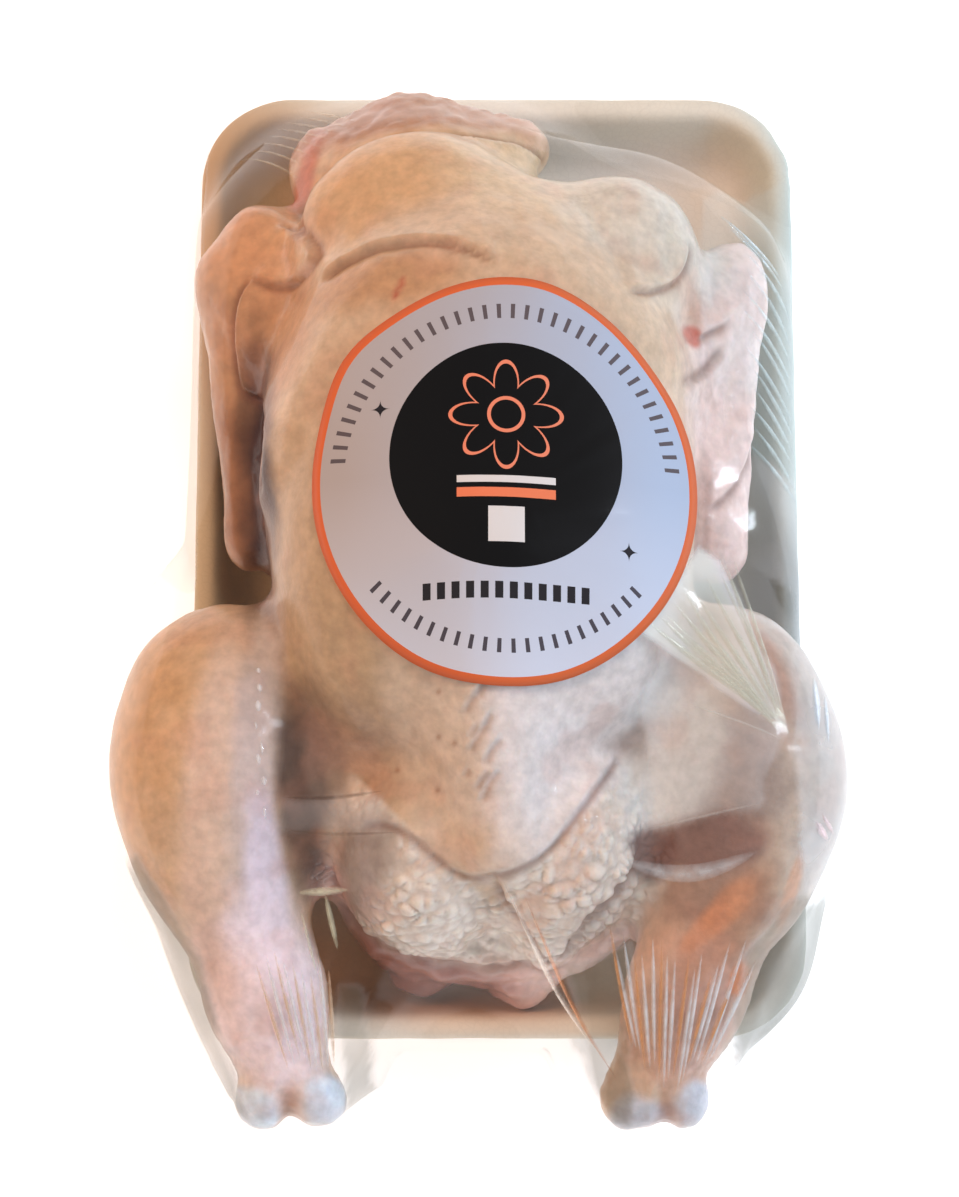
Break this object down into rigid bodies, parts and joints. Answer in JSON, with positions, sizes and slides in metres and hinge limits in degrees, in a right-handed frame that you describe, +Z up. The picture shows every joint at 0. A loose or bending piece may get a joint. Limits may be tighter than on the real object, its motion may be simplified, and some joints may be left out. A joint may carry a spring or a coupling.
{
  "type": "whole raw chicken on a foam tray under film",
  "caption": "Whole plucked raw chicken, breast up with folded wings and cut hocks, on a shallow foam tray under tight clear film with a round sticker.",
  "frame": {"origin": "centre of the tray's flat underside", "axes": "+X across the bird, +Y along the tray from the cut hocks towards the neck, +Z up out of the breast"},
  "size_m": [0.1948, 0.298, 0.1203],
  "materials": {
    "skin": "moist",
    "foam": "matt foam",
    "film": "glossy clear film",
    "label": "glossy"
  },
  "bodies": {
    "root": {"chicken": "skin", "foam_tray": "foam", "stretch_film": "film", "sticker": "label"}
  },
  "joints": []
}
